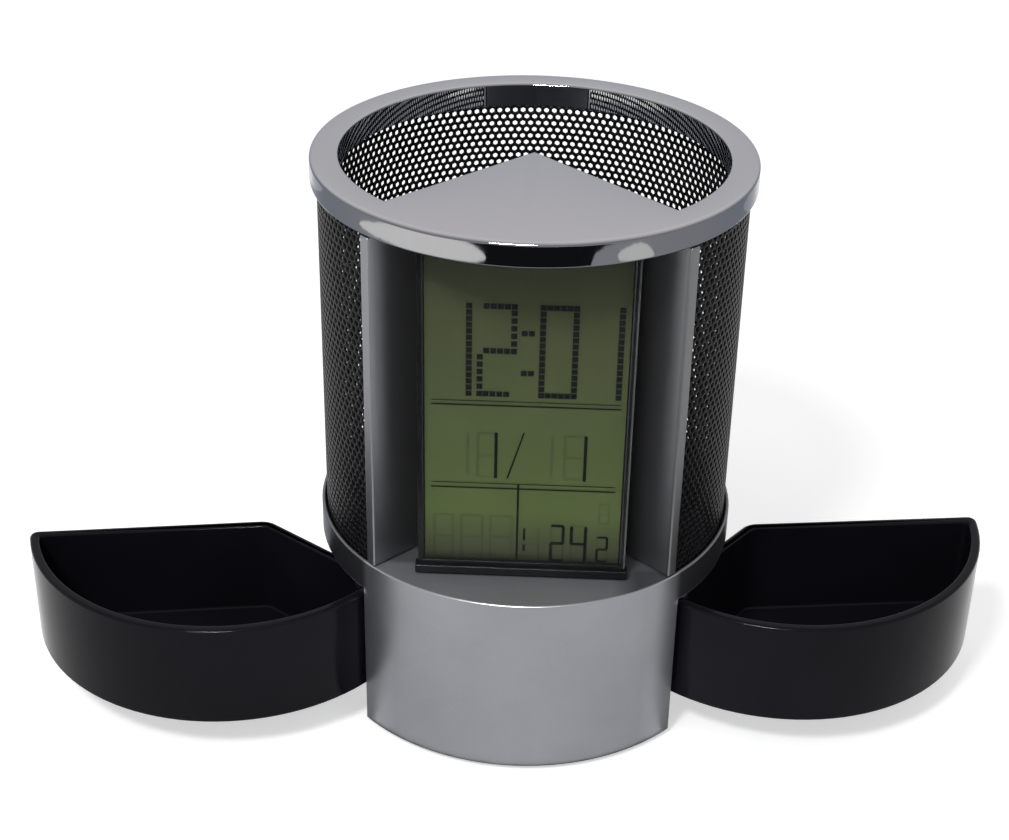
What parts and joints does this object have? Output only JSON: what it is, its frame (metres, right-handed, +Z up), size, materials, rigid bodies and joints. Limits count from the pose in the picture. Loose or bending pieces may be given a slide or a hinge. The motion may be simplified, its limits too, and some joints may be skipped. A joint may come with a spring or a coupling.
{
  "type": "pen holder clock",
  "caption": "Round desk pen holder: perforated black cup with a plated rim, a tall LCD clock in its front wedge, and two black trays that swing out of the base.",
  "frame": {"origin": "on the axis of the round body, at the level of the table", "axes": "+Z up along the body's axis, -Y out of the display, +X to the viewer's right"},
  "size_m": [0.1989, 0.085, 0.1152],
  "materials": {
    "silver_plastic": "satin silver lacquer",
    "plated": "plated, satin top and polished edge",
    "black_gloss": "high gloss",
    "black_matt": "fine matt",
    "black_enamel": "satin black, perforated",
    "clear_plastic": "clear, polished",
    "lcd_green": "grey-green liquid crystal",
    "reflector_foil": "matt foil",
    "board_green": "solder mask",
    "dark_rubber": "matt",
    "spring_steel": "nickel plated",
    "brass": "plain",
    "cell_wrap": "printed-free foil wrap",
    "ribbon_film": "polyimide film"
  },
  "bodies": {
    "base": {"base_plate": "black_matt", "base_screw_front_left": "spring_steel", "base_screw_front_right": "spring_steel", "base_screw_rear_left": "spring_steel", "base_screw_rear_right": "spring_steel", "battery_cell": "cell_wrap", "battery_tube": "black_matt", "body_shell": "silver_plastic", "buzzer": "black_matt", "centre_pad": "dark_rubber", "clock_chip": "black_gloss", "clock_column": "silver_plastic", "column_screw_left": "spring_steel", "column_screw_right": "spring_steel", "connector_strip_bottom": "dark_rubber", "connector_strip_top": "dark_rubber", "contact_spring": "spring_steel", "cup_floor": "black_matt", "cup_pad": "black_matt", "display_case": "black_matt", "display_frame": "black_gloss", "display_window": "clear_plastic", "foot_front_left": "dark_rubber", "foot_front_right": "dark_rubber", "foot_rear_left": "dark_rubber", "foot_rear_right": "dark_rubber", "key_board": "board_green", "key_ribbon": "ribbon_film", "lcd_glass": "lcd_green", "lcd_reflector": "reflector_foil", "lead_minus": "dark_rubber", "lead_plus": "dark_rubber", "main_board": "board_green", "mesh_screen": "black_enamel", "pivot_pin_left": "spring_steel", "pivot_pin_right": "spring_steel", "pivot_washer_left": "spring_steel", "pivot_washer_right": "spring_steel", "plinth": "silver_plastic", "quartz_crystal": "spring_steel", "switch_down": "spring_steel", "switch_mode": "spring_steel", "switch_set": "spring_steel", "switch_up": "spring_steel", "temperature_sensor": "brass", "top_cap": "plated"},
    "tray_left": {"tray_left": "black_gloss"},
    "tray_right": {"tray_right": "black_gloss"},
    "button_mode": {"button_mode": "black_gloss"},
    "button_set": {"button_set": "black_gloss"},
    "button_up": {"button_up": "black_gloss"},
    "button_down": {"button_down": "black_gloss"},
    "battery_door": {"battery_door": "black_matt", "contact_strip": "spring_steel"}
  },
  "joints": [
    {"name": "tray_left_hinge", "type": "hinge", "parent": "base", "child": "tray_left", "pos_m": [-0.03104, -0.02342, 0.0198], "axis": [0, 0, -1], "range_deg": [-1, 103.2]},
    {"name": "tray_right_hinge", "type": "hinge", "parent": "base", "child": "tray_right", "pos_m": [0.03104, -0.02342, 0.0198], "axis": [0, 0, 1], "range_deg": [-16, 87.4]},
    {"name": "button_mode_press", "type": "slide", "parent": "base", "child": "button_mode", "axis": [0, 0, 1], "range_m": [0, 0.0005], "stiffness_N_per_m": 800},
    {"name": "button_set_press", "type": "slide", "parent": "base", "child": "button_set", "axis": [0, 0, 1], "range_m": [0, 0.0005], "stiffness_N_per_m": 800},
    {"name": "button_up_press", "type": "slide", "parent": "base", "child": "button_up", "axis": [0, 0, 1], "range_m": [0, 0.0005], "stiffness_N_per_m": 800},
    {"name": "button_down_press", "type": "slide", "parent": "base", "child": "button_down", "axis": [0, 0, 1], "range_m": [0, 0.0005], "stiffness_N_per_m": 800},
    {"name": "battery_door_slide", "type": "slide", "parent": "base", "child": "battery_door", "axis": [0, 1, 0], "range_m": [0, 0.006]}
  ]
}
